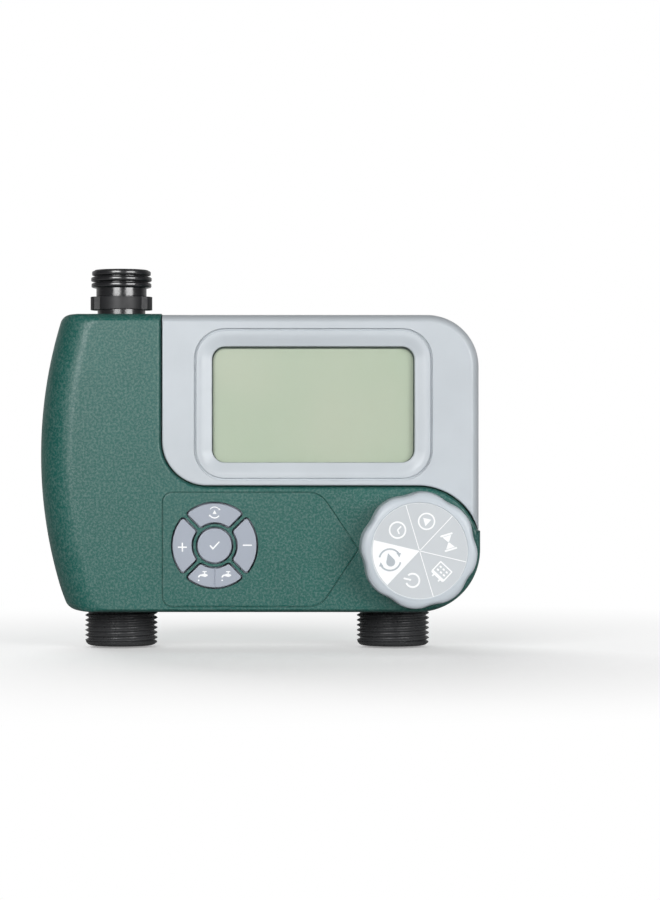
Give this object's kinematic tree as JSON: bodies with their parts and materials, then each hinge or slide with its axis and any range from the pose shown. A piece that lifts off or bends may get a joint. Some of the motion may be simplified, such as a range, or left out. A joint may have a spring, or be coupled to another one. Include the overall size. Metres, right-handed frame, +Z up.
{
  "type": "garden watering timer",
  "caption": "Battery tap timer for drip irrigation: green and grey body, threaded inlet on top, threaded outlets below, blank display, round keypad and scalloped selector knob.",
  "frame": {"origin": "on the axis of the inlet and the left outlet, in the plane of the outlet mouths", "axes": "+X to the right seen from the front, +Y from the front face to the back, +Z up through the inlet"},
  "size_m": [0.1582, 0.0756, 0.138],
  "materials": {
    "green_housing": "moulded, finely grained",
    "grey_cover": "moulded, satin",
    "key_plastic": "satin",
    "dial_print": "printed disc, satin",
    "black_plastic": "moulded, half gloss",
    "valve_plastic": "glass-filled, matte",
    "black_rubber": "moulded",
    "silicone": "translucent white, matte",
    "zinc_steel": "zinc plated",
    "spring_steel": "drawn wire",
    "stainless": "turned",
    "window": "clear, flat",
    "lcd": "reflective segment display, blank",
    "white_plastic": "moulded",
    "board": "solder mask",
    "component": "moulded",
    "capacitor": "sleeved can",
    "cell_sleeve": "wrapped sleeve, no print",
    "leads": "insulated wire",
    "coil": "taped winding",
    "filter_mesh": "moulded screen"
  },
  "bodies": {
    "housing": {"front_shell": "green_housing", "rear_shell": "green_housing", "housing_gasket": "black_rubber", "housing_screws": "zinc_steel", "display_cover": "grey_cover", "cover_screws": "zinc_steel", "display_window": "window", "window_seal": "black_rubber", "lcd_panel": "lcd", "lcd_holder": "white_plastic", "lcd_contact_strips": "silicone", "circuit_board": "board", "board_screws": "zinc_steel", "controller_chip": "component", "board_capacitors": "capacitor", "buzzer": "component", "rotary_switch": "component", "shaft_seal": "black_rubber", "keypad_mat": "silicone", "battery_tray": "component", "batteries": "cell_sleeve", "contact_springs": "spring_steel", "contact_plates": "stainless", "door_seal": "black_rubber", "door_hinge_pin": "stainless", "battery_leads": "leads", "inlet_spigot": "black_plastic", "inlet_washer": "black_rubber", "inlet_filter": "filter_mesh", "inlet_spigot_seal": "black_rubber", "valve_manifold": "valve_plastic", "left_outlet": "black_plastic", "right_outlet": "black_plastic", "outlet_seals": "black_rubber", "left_diaphragm": "black_rubber", "left_bonnet": "valve_plastic", "left_plunger_spring": "spring_steel", "left_solenoid": "coil", "right_diaphragm": "black_rubber", "right_bonnet": "valve_plastic", "right_plunger_spring": "spring_steel", "right_solenoid": "coil", "bonnet_screws": "zinc_steel", "solenoid_leads": "leads"},
    "selector": {"selector_knob": "grey_cover", "knob_dial": "dial_print", "knob_screw": "zinc_steel", "switch_shaft": "stainless"},
    "manual": {"manual_key": "key_plastic"},
    "plus": {"plus_key": "key_plastic"},
    "minus": {"minus_key": "key_plastic"},
    "ok": {"ok_key": "key_plastic"},
    "rocker": {"outlet_rocker_key": "key_plastic"},
    "left_armature": {"left_plunger": "stainless"},
    "right_armature": {"right_plunger": "stainless"},
    "left_valve": {"left_poppet": "white_plastic"},
    "right_valve": {"right_poppet": "white_plastic"},
    "door": {"battery_door": "green_housing"}
  },
  "joints": [
    {"name": "selector_turn", "type": "hinge", "parent": "housing", "child": "selector", "pos_m": [0.1073, -0.035, 0.0363], "axis": [0, 1, 0], "continuous": true},
    {"name": "manual_press", "type": "slide", "parent": "housing", "child": "manual", "axis": [0, 1, 0], "range_m": [0, 0.001], "stiffness_N_per_m": 600, "deforming": ["keypad_mat"]},
    {"name": "plus_press", "type": "slide", "parent": "housing", "child": "plus", "axis": [0, 1, 0], "range_m": [0, 0.001], "stiffness_N_per_m": 600, "deforming": ["keypad_mat"]},
    {"name": "minus_press", "type": "slide", "parent": "housing", "child": "minus", "axis": [0, 1, 0], "range_m": [0, 0.001], "stiffness_N_per_m": 600, "deforming": ["keypad_mat"]},
    {"name": "ok_press", "type": "slide", "parent": "housing", "child": "ok", "axis": [0, 1, 0], "range_m": [0, 0.001], "stiffness_N_per_m": 600, "deforming": ["keypad_mat"]},
    {"name": "outlet_rocker_tilt", "type": "hinge", "parent": "housing", "child": "rocker", "pos_m": [0.0347, -0.025, 0.0269], "axis": [0, 0, 1], "range_deg": [-3.5, 3.5], "stiffness_Nm_per_rad": 0.02, "deforming": ["keypad_mat"]},
    {"name": "left_plunger_lift", "type": "slide", "parent": "housing", "child": "left_armature", "axis": [0, 1, 0], "range_m": [0, 0.002], "stiffness_N_per_m": 150, "springref_m": -0.002, "deforming": ["left_plunger_spring"]},
    {"name": "left_poppet_lift", "type": "slide", "parent": "housing", "child": "left_valve", "axis": [0, 1, 0], "range_m": [0, 0.002], "deforming": ["left_diaphragm"]},
    {"name": "right_plunger_lift", "type": "slide", "parent": "housing", "child": "right_armature", "axis": [0, 1, 0], "range_m": [0, 0.002], "stiffness_N_per_m": 150, "springref_m": -0.002, "deforming": ["right_plunger_spring"]},
    {"name": "right_poppet_lift", "type": "slide", "parent": "housing", "child": "right_valve", "axis": [0, 1, 0], "range_m": [0, 0.002], "deforming": ["right_diaphragm"]},
    {"name": "battery_door_swing", "type": "hinge", "parent": "housing", "child": "door", "pos_m": [0.07225, 0.0322, 0.0715], "axis": [-1, 0, 0], "range_deg": [0, 95]}
  ],
  "couplings": [
    {"joint": "left_poppet_lift", "follows": "left_plunger_lift", "ratio": 1},
    {"joint": "right_poppet_lift", "follows": "right_plunger_lift", "ratio": 1}
  ]
}
